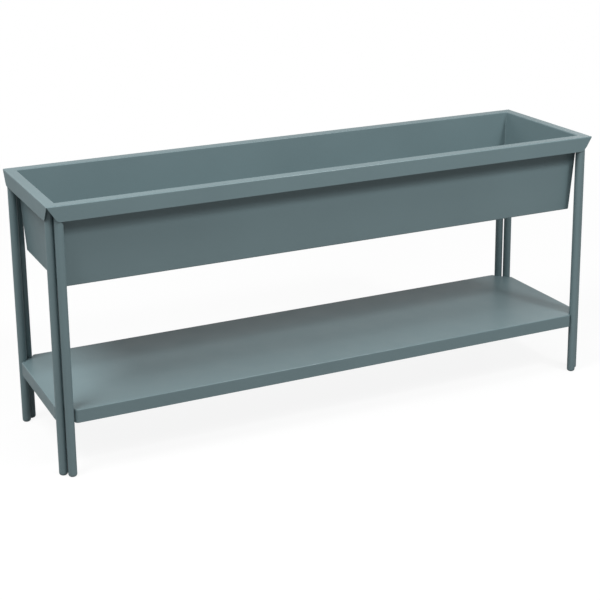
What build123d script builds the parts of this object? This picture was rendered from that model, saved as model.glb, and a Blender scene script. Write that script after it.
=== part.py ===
from build123d import *
import os
from math import atan, degrees, sqrt

# Raised planter on legs, in millimetres.
# A folded steel trough hangs by its rim between four legs, each a pair of round tubes set across a corner,
# and a flat shelf with its edges folded down sits low between the legs.
# X runs along the length, the front faces -Y and Z is up. The origin is on the ground under the middle.

# Overall sizes
rim_length = 1200.0  # over the lips, end to end
rim_width = 320.0  # over the lips, front to back
rim_height = 538.0  # ground to the top of the rim

# Folded sheet steel
sheet = 1.2
fold_inside = 1.0  # inside radius of a fold
corner_inside = 2.0  # inside radius where two upright walls meet

# Trough
trough_depth = 166.0  # top of the rim to the underside of the floor
wall_lean = 10.0  # how far a wall comes in from the rim to the floor
lip_height = 31.0
lip_cut = 20.0  # how far the lower edge of a lip stops short of the rim's corner
lip_corner_radius = 10.0
drain_hole_diameter = 16.0
drain_count = 3
drain_spacing = 360.0

# Leg tubes
tube_diameter = 17.2
tube_wall = 1.2
tube_gap = 2.6  # clear space between the two tubes of a leg
tube_to_lip = 0.2  # clear space between a tube and the lip in front of it
tube_to_end_wall = 2.0  # clear space between a tube and the end wall beside it, at the rim
tube_to_side_wall = 3.6  # clear space between a tube and the long wall beside it, at the rim

# Feet, pushed into the lower ends of the tubes
foot_height = 6.0
foot_edge_radius = 5.0
foot_stem_length = 16.0
foot_stem_clearance = 0.05
foot_stem_chamfer = 1.0

# Plates at the heads of the legs, under the rim
head_plate_thickness = 3.0
head_plate_arm = 64.0  # reach along each side, from the rim's corner
head_plate_clearance = 0.3  # to the folds on either side of it
head_plate_corner_cut = 14.0
head_stud_place = 52.0  # from the rim's corner, along each arm

# Shelf
shelf_height = 136.0  # ground to the top of the shelf
shelf_lip = 27.0  # top of the shelf to the lower edges of its lips
shelf_inset = 3.5  # shelf's outline inside the rim's outline
shelf_bend_inside = 5.8  # inside radius of the upright bends at the ends of the lips
shelf_end_to_tube = 0.8  # clear space between the bent end of a lip and the tube beside it
shelf_to_tube = 0.1  # clear space between the slanted corner edges and the tubes

# Brackets under the corners of the shelf
bracket_thickness = 2.5
bracket_grip = 3.0  # how far the notched end reaches past the near sides of the tubes
bracket_weld_gap = 0.05  # between a notch and its tube
bracket_side = 4.0  # bracket's edge outside the middle of the tube
bracket_reach = 45.0  # from the slanted corner edge inwards
bracket_end_radius = 10.0
bracket_first_stud = 14.0  # from the slanted corner edge inwards
bracket_stud_spacing = 20.0

# Weld studs, washers and nuts
thread_diameter = 5.0
thread_clearance = 0.05
stud_hole_clearance = 0.25
stud_end = 1.0  # thread that shows past the nut
washer_diameter = 10.0
washer_thickness = 1.0
nut_across_flats = 8.0
nut_height = 4.0
nut_chamfer = 0.6

# Drain stoppers
stopper_head_diameter = 28.0
stopper_head_height = 3.0
stopper_edge_radius = 1.2
stopper_clearance = 0.3  # stem to hole
stopper_stem_length = 9.0  # below the trough's floor
stopper_stem_taper = 1.0  # how much the stem's radius shrinks towards its end
stopper_tab_width = 14.0
stopper_tab_height = 16.0
stopper_tab_thickness = 4.0
stopper_tab_hole = 7.0

# Cutting tools reach this far past the faces that they cut
overrun = 5.0

# Sizes that follow from the ones above
fold_outside = fold_inside + sheet
corner_outside = corner_inside + sheet
tube_radius = tube_diameter / 2
tube_near = sheet + tube_to_lip + tube_radius  # rim's outer face to the nearer side's tube
tube_pitch = tube_diameter + tube_gap
tube_far = tube_near + tube_pitch / sqrt(2)
tube_diagonal = (tube_near + tube_far) / sqrt(2)  # rim's corner to the middle of the pair
end_outset = tube_near + tube_radius + tube_to_end_wall  # rim's outer face to an end wall's outer face
side_outset = tube_near + tube_radius + tube_to_side_wall  # the same for a long wall
rim_underside = rim_height - sheet
tube_top = rim_underside - head_plate_thickness
trough_floor = rim_height - trough_depth + sheet
shelf_underside = shelf_height - sheet
shelf_notch = tube_far + tube_radius + shelf_end_to_tube  # rim's corner to the bent end of a lip
slant_edge = tube_diagonal + tube_radius + shelf_to_tube  # rim's corner to the shelf's slanted edge

corners = {
    "front_left": (-1, -1),
    "front_right": (1, -1),
    "back_left": (-1, 1),
    "back_right": (1, 1),
}


def to_corner(shape, corner):
    """Moves a shape made about the origin as the front left corner of the rim to one of the corners."""
    side_x, side_y = corners[corner]
    placed = Pos(-rim_length / 2, -rim_width / 2, 0) * shape
    if side_x > 0:
        placed = mirror(placed, about=Plane.YZ)
    if side_y > 0:
        placed = mirror(placed, about=Plane.XZ)
    return placed


def across_corner(shape):
    """Turns a shape whose X axis points inwards so that it lies on the corner's diagonal."""
    return Rot(0, 0, 45) * shape


def rod(diameter, low, high):
    """Upright round bar about the Z axis."""
    bar = extrude(Circle(diameter / 2), high - low)
    return Pos(0, 0, low) * bar


def rim_block(inset, low, high, radius):
    """Block with the rim's outline, brought in by an inset and rounded along its upper edges."""
    outline = Rectangle(rim_length - 2 * inset, rim_width - 2 * inset)
    block = Pos(0, 0, low) * extrude(outline, high - low)
    return fillet(block.edges().group_by(Axis.Z)[-1], radius)


def lip_corner_cutter():
    """Cuts both lips on a slant, from the rim's corner down to lip_cut away from it."""
    depth = lip_height + overrun
    upper = Rectangle(overrun, overrun, align=(Align.MAX, Align.MAX))
    reach = overrun + lip_cut * depth / lip_height
    lower = Pos(-overrun, -overrun) * Rectangle(reach, reach, align=(Align.MIN, Align.MIN))
    return loft([Pos(0, 0, rim_height) * upper, Pos(0, 0, rim_height - depth) * lower], ruled=True)


def rim():
    """Flat rim with a lip folded down along each side and an open V at each corner."""
    lip_bottom = rim_height - lip_height
    shape = rim_block(0, lip_bottom, rim_height, fold_outside)
    shape -= rim_block(sheet, lip_bottom, rim_underside, fold_inside)
    for corner in corners:
        shape -= to_corner(lip_corner_cutter(), corner)
    lip_ends = [
        edge
        for edge in shape.edges()
        if abs(edge.center().Z - lip_bottom) < sheet / 10 and edge.length < 2 * sheet
    ]
    return fillet(lip_ends, lip_corner_radius)


def trough_block(inset, top, bottom, corner_radius, floor_radius):
    """Block with leaning sides, brought in by an inset from the outer faces of the trough's walls."""
    lean = wall_lean / trough_depth
    start = inset + (rim_height - top) * lean
    outline = Rectangle(rim_length - 2 * (end_outset + start), rim_width - 2 * (side_outset + start))
    block = Pos(0, 0, top) * extrude(outline, -(top - bottom), taper=degrees(atan(lean)))
    upright = block.edges().filter_by(lambda edge: edge.bounding_box().size.Z > (top - bottom) / 2)
    block = fillet(upright, corner_radius)
    return fillet(block.edges().group_by(Axis.Z)[0], floor_radius)


def beside_wall(edge, height):
    """True for the edges where the rim meets the trough's walls at a height."""
    middle = edge.center()
    past_end = abs(middle.X) - rim_length / 2 + end_outset
    past_side = abs(middle.Y) - rim_width / 2 + side_outset
    outside = max(past_end, past_side)
    return abs(middle.Z - height) < sheet / 10 and abs(outside) < corner_outside


def drain_places():
    """Middles of the drain holes along the trough."""
    return [drain_spacing * (number - (drain_count - 1) / 2) for number in range(drain_count)]


def planting_trough():
    """Trough and rim, folded from sheet."""
    underside = trough_floor - sheet
    shape = rim() + trough_block(0, rim_underside, underside, corner_outside, fold_outside)
    under_rim = [edge for edge in shape.edges() if beside_wall(edge, rim_underside)]
    shape = fillet(under_rim, fold_inside)
    shape -= trough_block(sheet, rim_height, trough_floor, corner_inside, fold_inside)
    mouth = [edge for edge in shape.edges() if beside_wall(edge, rim_height)]
    shape = fillet(mouth, fold_outside)
    for place in drain_places():
        hole = rod(drain_hole_diameter, underside - overrun, trough_floor + overrun)
        shape -= Pos(place, 0, 0) * hole
    return shape


def shelf_block(inset, low, high, bend_radius, fold_radius):
    """Block with the shelf's notched outline, brought in by an inset and rounded along its upper edges."""
    length = rim_length - 2 * (shelf_inset + inset)
    width = rim_width - 2 * (shelf_inset + inset)
    block = Pos(0, 0, low) * extrude(Rectangle(length, width), high - low)
    notch = Rectangle(shelf_notch + inset, shelf_notch + inset, align=(Align.MIN, Align.MIN))
    notch = Pos(0, 0, low) * extrude(notch, high - low)
    for corner in corners:
        block -= to_corner(notch, corner)
    bends = [
        edge
        for edge in block.edges().filter_by(Axis.Z)
        if min(length / 2 - abs(edge.center().X), width / 2 - abs(edge.center().Y)) < sheet / 10
    ]
    block = fillet(bends, bend_radius)
    return fillet(block.edges().group_by(Axis.Z)[-1], fold_radius)


def shelf_corner(low, high):
    """Plate that fills the inner part of a corner's notch and ends on a slant beside the tubes."""
    slant_end = sqrt(2) * slant_edge - shelf_notch
    inner = shelf_notch + fold_outside
    outline = Polyline(
        (shelf_notch, slant_end),
        (inner, slant_end),
        (inner, inner),
        (slant_end, inner),
        (slant_end, shelf_notch),
        close=True,
    )
    return Pos(0, 0, low) * extrude(make_face(outline), high - low)


def lower_shelf():
    """Flat shelf with a lip folded down along each side, bent inwards at its ends beside the legs."""
    low = shelf_height - shelf_lip
    shape = shelf_block(0, low, shelf_height, shelf_bend_inside + sheet, fold_outside)
    shape -= shelf_block(sheet, low, shelf_underside, shelf_bend_inside, fold_inside)
    for corner in corners:
        shape -= to_corner(shelf_corner(low - overrun, shelf_underside), corner)
        shape += to_corner(shelf_corner(shelf_underside, shelf_height), corner)
    return shape


def tube_places():
    """Middles of a leg's two tubes, from the rim's corner: one by the end lip, one by the side lip."""
    return {"end": (tube_near, tube_far), "side": (tube_far, tube_near)}


def leg_tube():
    """Round tube from the foot up to the head plate."""
    bore = tube_diameter - 2 * tube_wall
    return rod(tube_diameter, foot_height, tube_top) - rod(bore, foot_height, tube_top)


def foot_plug():
    """Rounded foot with a stem that fills the tube's lower end."""
    head = rod(tube_diameter, 0, foot_height)
    head = fillet(head.edges().group_by(Axis.Z)[0], foot_edge_radius)
    stem_diameter = tube_diameter - 2 * tube_wall - 2 * foot_stem_clearance
    stem = rod(stem_diameter, foot_height, foot_height + foot_stem_length)
    stem = chamfer(stem.edges().group_by(Axis.Z)[-1], foot_stem_chamfer)
    return head + stem


def head_strip(wall_outset):
    """Near and far side of the strip between a lip and the wall beside it that a head plate fills."""
    near = sheet + fold_inside + head_plate_clearance
    far = wall_outset - fold_inside - head_plate_clearance
    return near, far


def head_stud_places():
    """Studs under the rim, from the rim's corner, one on each arm of the head plate."""
    end_middle = sum(head_strip(end_outset)) / 2
    side_middle = sum(head_strip(side_outset)) / 2
    return [(head_stud_place, side_middle), (end_middle, head_stud_place)]


def leg_head_plate():
    """Angle-shaped plate under the rim's corner, on the upper ends of the tubes."""
    near, end_far = head_strip(end_outset)
    near, side_far = head_strip(side_outset)
    outline = Polyline(
        (near + head_plate_corner_cut, near),
        (head_plate_arm, near),
        (head_plate_arm, side_far),
        (end_far, side_far),
        (end_far, head_plate_arm),
        (near, head_plate_arm),
        (near, near + head_plate_corner_cut),
        close=True,
    )
    plate = Pos(0, 0, tube_top) * extrude(make_face(outline), head_plate_thickness)
    hole = rod(thread_diameter + 2 * stud_hole_clearance, tube_top - overrun, rim_height)
    for x, y in head_stud_places():
        plate -= Pos(x, y, 0) * hole
    return plate


def bracket_stud_places():
    """Studs under the shelf, from the rim's corner, along the corner's diagonal."""
    first = slant_edge + bracket_first_stud
    return [(first, 0), (first + bracket_stud_spacing, 0)]


def shelf_bracket():
    """Plate under the shelf's corner, notched to sit against both tubes of the leg."""
    low = shelf_underside - bracket_thickness
    outer = tube_diagonal + tube_radius - bracket_grip
    length = slant_edge + bracket_reach - outer
    width = tube_pitch + 2 * bracket_side
    plate = Pos(outer, 0, low) * Box(
        length, width, bracket_thickness, align=(Align.MIN, Align.CENTER, Align.MIN)
    )
    inner_end = plate.edges().filter_by(Axis.Z).group_by(Axis.X)[-1]
    plate = fillet(inner_end, bracket_end_radius)
    notch = rod(tube_diameter + 2 * bracket_weld_gap, low - overrun, shelf_height)
    for side in (-1, 1):
        plate -= Pos(tube_diagonal, side * tube_pitch / 2, 0) * notch
    hole = rod(thread_diameter + 2 * stud_hole_clearance, low - overrun, shelf_height)
    for x, y in bracket_stud_places():
        plate -= Pos(x, y, 0) * hole
    return across_corner(plate)


def stud(face, plate):
    """Weld stud that hangs from a face and passes through a plate, a washer and a nut."""
    return rod(thread_diameter, face - plate - washer_thickness - nut_height - stud_end, face)


def washer(face, plate):
    """Washer under a plate."""
    top = face - plate
    bore = thread_diameter + 2 * stud_hole_clearance
    return rod(washer_diameter, top - washer_thickness, top) - rod(bore, top - washer_thickness, top)


def nut(face, plate):
    """Hexagon nut under the washer, with its corners taken off."""
    top = face - plate - washer_thickness
    bottom = top - nut_height
    corner_radius = nut_across_flats / sqrt(3)
    hexagon = Pos(0, 0, bottom) * extrude(RegularPolygon(corner_radius, 6), nut_height)
    turned = rod(2 * corner_radius, bottom, top)
    turned = chamfer(turned.edges().filter_by(GeomType.CIRCLE), nut_chamfer)
    return (hexagon & turned) - rod(thread_diameter + 2 * thread_clearance, bottom, top)


def at_head_studs(make):
    """Copies of a fastener at every stud under the rim."""
    piece = make(rim_underside, head_plate_thickness)
    return [to_corner(Pos(x, y, 0) * piece, corner) for corner in corners for x, y in head_stud_places()]


def at_shelf_studs(make):
    """Copies of a fastener at every stud under the shelf."""
    piece = make(shelf_underside, bracket_thickness)
    return [
        to_corner(across_corner(Pos(x, y, 0) * piece), corner)
        for corner in corners
        for x, y in bracket_stud_places()
    ]


def drain_stopper():
    """Soft plug with a flat head on the trough's floor, a tapered stem and a tab to pull it by."""
    head = rod(stopper_head_diameter, trough_floor, trough_floor + stopper_head_height)
    head = fillet(head.edges().group_by(Axis.Z)[-1], stopper_edge_radius)
    stem_radius = drain_hole_diameter / 2 - stopper_clearance
    stem_length = sheet + stopper_stem_length
    stem = Cone(
        stem_radius - stopper_stem_taper,
        stem_radius,
        stem_length,
        align=(Align.CENTER, Align.CENTER, Align.MAX),
    )
    stem = Pos(0, 0, trough_floor) * stem
    tab_low = trough_floor + stopper_head_height
    round_radius = stopper_tab_width / 2
    tab = Rectangle(stopper_tab_width, stopper_tab_height - round_radius, align=(Align.CENTER, Align.MIN))
    tab += Pos(0, stopper_tab_height - round_radius) * Circle(round_radius)
    tab -= Pos(0, stopper_tab_height - round_radius) * Circle(stopper_tab_hole / 2)
    tab = extrude(Plane.XZ * tab, stopper_tab_thickness / 2, both=True)
    return head + stem + Pos(0, 0, tab_low) * tab


def save(name, solids):
    """Writes one node: a single solid, or a group of separate ones."""
    shape = Compound(solids) if isinstance(solids, list) else solids
    export_step(shape, os.path.join("parts", name + ".step"))


os.makedirs("parts", exist_ok=True)

save("planting_trough", planting_trough())
save("lower_shelf", lower_shelf())
for corner in corners:
    for place, (x, y) in tube_places().items():
        save(f"leg_tube_{corner}_{place}", to_corner(Pos(x, y, 0) * leg_tube(), corner))
        save(f"foot_plug_{corner}_{place}", to_corner(Pos(x, y, 0) * foot_plug(), corner))
    save(f"leg_head_plate_{corner}", to_corner(leg_head_plate(), corner))
    save(f"shelf_bracket_{corner}", to_corner(shelf_bracket(), corner))
save("rim_studs", at_head_studs(stud))
save("rim_washers", at_head_studs(washer))
save("rim_nuts", at_head_studs(nut))
save("shelf_studs", at_shelf_studs(stud))
save("shelf_washers", at_shelf_studs(washer))
save("shelf_nuts", at_shelf_studs(nut))
for number, place in enumerate(drain_places(), 1):
    save(f"drain_stopper_{number}", Pos(place, 0, 0) * drain_stopper())
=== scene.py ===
import math

import bpy
from mathutils import Matrix, Vector

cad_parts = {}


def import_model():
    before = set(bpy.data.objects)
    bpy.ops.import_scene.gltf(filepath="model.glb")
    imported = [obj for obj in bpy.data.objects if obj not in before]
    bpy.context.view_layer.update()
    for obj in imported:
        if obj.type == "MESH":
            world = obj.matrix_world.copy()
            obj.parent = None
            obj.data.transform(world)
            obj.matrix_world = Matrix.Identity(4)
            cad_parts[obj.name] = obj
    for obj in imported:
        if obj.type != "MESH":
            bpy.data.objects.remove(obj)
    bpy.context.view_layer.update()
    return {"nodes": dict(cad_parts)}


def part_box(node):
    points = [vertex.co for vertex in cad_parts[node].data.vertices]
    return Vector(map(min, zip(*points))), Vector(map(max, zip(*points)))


# Raised planter on legs: finishes, floor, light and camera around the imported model, in metres.
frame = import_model()

# Camera, found by fitting the planter's corners to the photograph
picture_size = 600  # pixels, both ways
eye = Vector((-1.2199, -2.5413, 1.2220))
look_right = math.radians(24.921)  # from straight along +Y
look_down = math.radians(14.782)
roll = math.radians(-0.749)
focal_length = 1400.0  # pixels
shift = Vector((8.8, -120.0))  # pixels
sensor_width = 36.0  # millimetres

# Cloudy patterns
cloud_low = 0.3  # most of a pattern's values lie between these two
cloud_high = 0.7
soft_detail = 2.0  # how finely a pattern is broken up
fine_detail = 4.0

# Powder coat
paint_colour = (0.150, 0.215, 0.230)
paint_shade = 0.04  # how far patches of the paint stray from its colour
paint_shade_patch = 0.25  # size of those patches
paint_roughness = 0.38
paint_roughness_stray = 0.03
paint_roughness_patch = 0.05
paint_specular = 0.4
paint_grain_size = 0.0015
paint_grain_depth = 0.00003
rub_and_highlight_width = 0.005  # how far the rub and the painted highlight reach from the upper folds
rub_and_highlight_patch = 0.03
rub_and_highlight_low = 0.35  # the paint is plain where a cloudy pattern lies below this
rub_and_highlight_high = 0.6  # and has the full rub and painted highlight where it lies above this
painted_highlight_shade = 1.06  # how much lighter the paint is painted along the upper edges, a painted highlight
rubbed_smoothness = 0.08  # how much less rough it is there

# Plastic feet
plastic_colour = (0.140, 0.200, 0.215)
plastic_roughness = (0.5, 0.6)
plastic_roughness_patch = 0.004
plastic_grain_size = 0.0006
plastic_grain_depth = 0.00002
scuff_height = 0.002  # how far up from the ground the feet are scuffed
scuff_patch = 0.002
scuff_shade = 1.5  # how much lighter a full scuff is

# Zinc plating
zinc_colour = (0.60, 0.61, 0.62)
zinc_crystal_size = 0.002
zinc_crystal_shade = (0.85, 1.1)
zinc_roughness = (0.3, 0.42)
zinc_roughness_patch = 0.003
zinc_grain_size = 0.0008
zinc_grain_depth = 0.00002

# Rubber stoppers
rubber_colour = (0.030, 0.030, 0.032)
rubber_bloom_shade = (0.8, 1.6)
rubber_bloom_patch = 0.006
rubber_roughness = (0.6, 0.75)
rubber_roughness_patch = 0.004
rubber_grain_size = 0.0007
rubber_grain_depth = 0.00003

# Sky and floor
sky_strength = 0.06
sky_mirrored = 0.6  # how far the sky goes towards plain white where paint or metal mirrors it
floor_half = 15.0  # half the length of its side
floor_grey = 0.38  # how much light the floor throws back at the planter
floor_white = 0.9  # share of the floor's look to the camera that is plain white, near the planter
floor_mirrored = 0.05  # how much of that share is left where paint or metal mirrors the floor
floor_fade_start = 1.2  # the shadow fades into white from this far off the middle
floor_fade_end = 2.4  # to this far

# Lamps: where each stands, its width and height, and its watts
lamp_target = Vector((0, 0, 0.3))  # what they all face
lamps = {
    "left_lamp": ((-1.7, -0.5, 2.7), (1.2, 1.2), 68.0),
    "front_lamp": ((0.6, -1.9, 2.3), (2.4, 0.6), 35.0),
    "right_lamp": ((1.1, -1.65, 2.4), (0.3, 0.3), 25.0),
    "left_back_lamp": ((-2.4, 2.0, 1.8), (1.6, 1.2), 20.0),
    "right_back_lamp": ((2.6, 1.2, 1.4), (1.6, 1.2), 14.0),
}


def node_material(name):
    """New material with its node tree and its main shader."""
    material = bpy.data.materials.new(name)
    material.use_nodes = True
    tree = material.node_tree
    shader = tree.nodes["Principled BSDF"]
    return material, tree, shader


def place(tree):
    """Coordinates on the piece, in metres."""
    return tree.nodes.new("ShaderNodeTexCoord").outputs["Object"]


def split_axes(tree, where):
    """Coordinates taken apart, as outputs called X, Y and Z."""
    node = tree.nodes.new("ShaderNodeSeparateXYZ")
    tree.links.new(where, node.inputs["Vector"])
    return node.outputs


def noise(tree, where, size, detail=soft_detail):
    """Cloudy pattern whose patches are about a size across."""
    node = tree.nodes.new("ShaderNodeTexNoise")
    node.inputs["Scale"].default_value = 1.0 / size
    node.inputs["Detail"].default_value = detail
    tree.links.new(where, node.inputs["Vector"])
    return node.outputs["Fac"]


def spread(tree, value, low, high, to_low, to_high):
    """Maps one range of values onto another and stays inside it."""
    node = tree.nodes.new("ShaderNodeMapRange")
    node.inputs["From Min"].default_value = low
    node.inputs["From Max"].default_value = high
    node.inputs["To Min"].default_value = to_low
    node.inputs["To Max"].default_value = to_high
    tree.links.new(value, node.inputs["Value"])
    return node.outputs["Result"]


def clouds(tree, where, size, to_low, to_high, detail=soft_detail):
    """Cloudy pattern that drifts from one value to another."""
    return spread(tree, noise(tree, where, size, detail), cloud_low, cloud_high, to_low, to_high)


def arithmetic(tree, operation, first, second):
    """One step of arithmetic on two values, either of which may be a plain number."""
    node = tree.nodes.new("ShaderNodeMath")
    node.operation = operation
    for value, socket in zip((first, second), node.inputs):
        if isinstance(value, (int, float)):
            socket.default_value = value
        else:
            tree.links.new(value, socket)
    return node.outputs["Value"]


def tinted(tree, colour, shade, socket):
    """A colour made lighter or darker by a shade that varies."""
    tint = tree.nodes.new("ShaderNodeVectorMath")
    tint.operation = "SCALE"
    tint.inputs[0].default_value = colour
    tree.links.new(shade, tint.inputs["Scale"])
    tree.links.new(tint.outputs["Vector"], socket)


def grain(tree, shader, where, size, depth):
    """Fine unevenness of a surface: the size of its grains and how deep it is."""
    bump = tree.nodes.new("ShaderNodeBump")
    bump.inputs["Distance"].default_value = depth
    tree.links.new(noise(tree, where, size), bump.inputs["Height"])
    tree.links.new(bump.outputs["Normal"], shader.inputs["Normal"])


def near_upper_edges(tree, where, corners, width):
    """1 at the upper outer edges of a box, falling to 0 at a width from them, on the box's faces."""
    low, high = corners
    axes = split_axes(tree, where)
    inwards = []
    for axis, name in enumerate("XY"):
        middle = (low[axis] + high[axis]) / 2
        off_middle = arithmetic(tree, "ABSOLUTE", arithmetic(tree, "SUBTRACT", axes[name], middle), 0)
        inwards.append(arithmetic(tree, "SUBTRACT", high[axis] - middle, off_middle))
    down = arithmetic(tree, "SUBTRACT", high[2], axes["Z"])
    away = arithmetic(tree, "MAXIMUM", arithmetic(tree, "MINIMUM", *inwards), down)
    return spread(tree, away, 0, width, 1, 0)


def powder_coat(name, corners=None):
    """Satin powder coat, fine grain; worn smoother, with a painted highlight, along a given box's upper
    edges.
    """
    material, tree, shader = node_material(name)
    where = place(tree)
    shade = clouds(tree, where, paint_shade_patch, 1 - paint_shade, 1 + paint_shade)
    roughest = paint_roughness + paint_roughness_stray
    smoothest = paint_roughness - paint_roughness_stray
    roughness = clouds(tree, where, paint_roughness_patch, roughest, smoothest)
    if corners:
        pattern = noise(tree, where, rub_and_highlight_patch, fine_detail)
        patchy = spread(tree, pattern, rub_and_highlight_low, rub_and_highlight_high, 0, 1)
        edges = near_upper_edges(tree, where, corners, rub_and_highlight_width)
        rub_and_highlight = arithmetic(tree, "MULTIPLY", edges, patchy)
        # The lighter paint along the upper edges is a painted highlight; the drop in roughness is the
        # rub.
        lighter = spread(tree, rub_and_highlight, 0, 1, 1, painted_highlight_shade)
        shade = arithmetic(tree, "MULTIPLY", shade, lighter)
        smoother = spread(tree, rub_and_highlight, 0, 1, 0, rubbed_smoothness)
        roughness = arithmetic(tree, "SUBTRACT", roughness, smoother)
    tinted(tree, paint_colour, shade, shader.inputs["Base Color"])
    tree.links.new(roughness, shader.inputs["Roughness"])
    shader.inputs["Specular IOR Level"].default_value = paint_specular
    grain(tree, shader, where, paint_grain_size, paint_grain_depth)
    return material


def foot_plastic():
    """Moulded plastic, scuffed pale where it stands on the ground."""
    material, tree, shader = node_material("foot_plastic")
    where = place(tree)
    near_ground = spread(tree, split_axes(tree, where)["Z"], 0, scuff_height, 1, 0)
    scuffed = arithmetic(tree, "MULTIPLY", near_ground, noise(tree, where, scuff_patch, fine_detail))
    tinted(tree, plastic_colour, spread(tree, scuffed, 0, 1, 1, scuff_shade), shader.inputs["Base Color"])
    roughness = clouds(tree, where, plastic_roughness_patch, *plastic_roughness)
    tree.links.new(roughness, shader.inputs["Roughness"])
    grain(tree, shader, where, plastic_grain_size, plastic_grain_depth)
    return material


def zinc_steel():
    """Zinc plating with a faint crystal pattern."""
    material, tree, shader = node_material("zinc_plated_steel")
    where = place(tree)
    crystals = tree.nodes.new("ShaderNodeTexVoronoi")
    crystals.inputs["Scale"].default_value = 1 / zinc_crystal_size
    tree.links.new(where, crystals.inputs["Vector"])
    shade = spread(tree, crystals.outputs["Color"], 0, 1, *zinc_crystal_shade)
    tinted(tree, zinc_colour, shade, shader.inputs["Base Color"])
    shader.inputs["Metallic"].default_value = 1.0
    roughness = clouds(tree, where, zinc_roughness_patch, *zinc_roughness)
    tree.links.new(roughness, shader.inputs["Roughness"])
    grain(tree, shader, where, zinc_grain_size, zinc_grain_depth)
    return material


def stopper_rubber():
    """Black rubber with a dusty bloom."""
    material, tree, shader = node_material("stopper_rubber")
    where = place(tree)
    shade = clouds(tree, where, rubber_bloom_patch, *rubber_bloom_shade, fine_detail)
    tinted(tree, rubber_colour, shade, shader.inputs["Base Color"])
    roughness = clouds(tree, where, rubber_roughness_patch, *rubber_roughness)
    tree.links.new(roughness, shader.inputs["Roughness"])
    grain(tree, shader, where, rubber_grain_size, rubber_grain_depth)
    return material


def dress(material, *starts):
    """Gives a finish to the CAD nodes whose names start so."""
    for name, piece in frame["nodes"].items():
        if name.startswith(starts):
            piece.data.materials.clear()
            piece.data.materials.append(material)


def ray_share(tree, seen, mirrored):
    """One value for rays from the camera, one for rays by gloss or glass, and 0 for light itself."""
    path = tree.nodes.new("ShaderNodeLightPath")
    share = spread(tree, path.outputs["Is Camera Ray"], 0, 1, 0, seen)
    for kind in ("Is Glossy Ray", "Is Transmission Ray"):
        share = arithmetic(tree, "MAXIMUM", share, spread(tree, path.outputs[kind], 0, 1, 0, mirrored))
    return share


def world():
    """Even studio light, white where it is seen."""
    studio = bpy.data.worlds.new("studio")
    bpy.context.scene.world = studio
    studio.use_nodes = True
    tree = studio.node_tree
    background = tree.nodes["Background"]
    background.inputs["Color"].default_value = (1, 1, 1, 1)
    strength = spread(tree, ray_share(tree, 1, sky_mirrored), 0, 1, sky_strength, 1)
    tree.links.new(strength, background.inputs["Strength"])
    # The sky differs by the kind of ray, so it is not sampled as a lamp would be.
    studio.cycles.sampling_method = "NONE"


def floor():
    """Plain pale floor, white to the camera, that shows the planter's shadow faintly."""
    mesh = bpy.data.meshes.new("floor")
    corners = [(-1, -1), (1, -1), (1, 1), (-1, 1)]
    mesh.from_pydata([(x * floor_half, y * floor_half, 0) for x, y in corners], [], [(0, 1, 2, 3)])
    piece = bpy.data.objects.new("floor", mesh)
    bpy.context.scene.collection.objects.link(piece)
    material, tree, shader = node_material("floor")
    path = tree.nodes.new("ShaderNodeLightPath")
    brightness = spread(tree, path.outputs["Is Camera Ray"], 0, 1, floor_grey, 1)
    tree.links.new(brightness, shader.inputs["Base Color"])
    shader.inputs["Roughness"].default_value = 1.0
    shader.inputs["Specular IOR Level"].default_value = 0.0
    distance = tree.nodes.new("ShaderNodeVectorMath")
    distance.operation = "LENGTH"
    tree.links.new(place(tree), distance.inputs[0])
    from_middle = distance.outputs["Value"]
    outwards = spread(tree, from_middle, floor_fade_start, floor_fade_end, floor_white, 1)
    white_share = arithmetic(tree, "MULTIPLY", outwards, ray_share(tree, 1, floor_mirrored))
    white = tree.nodes.new("ShaderNodeEmission")
    mix = tree.nodes.new("ShaderNodeMixShader")
    tree.links.new(white_share, mix.inputs["Fac"])
    tree.links.new(shader.outputs["BSDF"], mix.inputs[1])
    tree.links.new(white.outputs["Emission"], mix.inputs[2])
    tree.links.new(mix.outputs["Shader"], tree.nodes["Material Output"].inputs["Surface"])
    # Like the sky, the white differs by the kind of ray.
    material.cycles.emission_sampling = "NONE"
    mesh.materials.append(material)


def lamp(name, where, size, watts):
    """Soft lamp that faces the planter."""
    light = bpy.data.lights.new(name, "AREA")
    light.shape = "RECTANGLE"
    light.size, light.size_y = size
    light.energy = watts
    piece = bpy.data.objects.new(name, light)
    bpy.context.scene.collection.objects.link(piece)
    piece.location = where
    piece.rotation_euler = (lamp_target - Vector(where)).to_track_quat("-Z", "Y").to_euler()


def camera():
    """Camera of the photograph."""
    data = bpy.data.cameras.new("camera")
    data.sensor_width = sensor_width
    data.lens = focal_length * sensor_width / picture_size
    data.shift_x, data.shift_y = shift / picture_size
    ahead = Vector((
        math.sin(look_right) * math.cos(look_down),
        math.cos(look_right) * math.cos(look_down),
        -math.sin(look_down),
    ))
    level = Vector((math.cos(look_right), -math.sin(look_right), 0))
    upright = level.cross(ahead)
    right = level * math.cos(roll) + upright * math.sin(roll)
    up = upright * math.cos(roll) - level * math.sin(roll)
    piece = bpy.data.objects.new("camera", data)
    piece.matrix_world = Matrix.Translation(eye) @ Matrix((right, up, -ahead)).transposed().to_4x4()
    bpy.context.scene.collection.objects.link(piece)
    bpy.context.scene.camera = piece


dress(powder_coat("powder_coat_trough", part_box("planting_trough")), "planting_trough")
dress(powder_coat("powder_coat_shelf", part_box("lower_shelf")), "lower_shelf")
dress(powder_coat("powder_coat_legs"), "leg_tube", "leg_head_plate", "shelf_bracket")
dress(foot_plastic(), "foot_plug")
dress(zinc_steel(), "rim_", "shelf_studs", "shelf_washers", "shelf_nuts")
dress(stopper_rubber(), "drain_stopper")
world()
floor()
for name, (where, size, watts) in lamps.items():
    lamp(name, where, size, watts)
camera()
bpy.context.scene.view_settings.view_transform = "Standard"
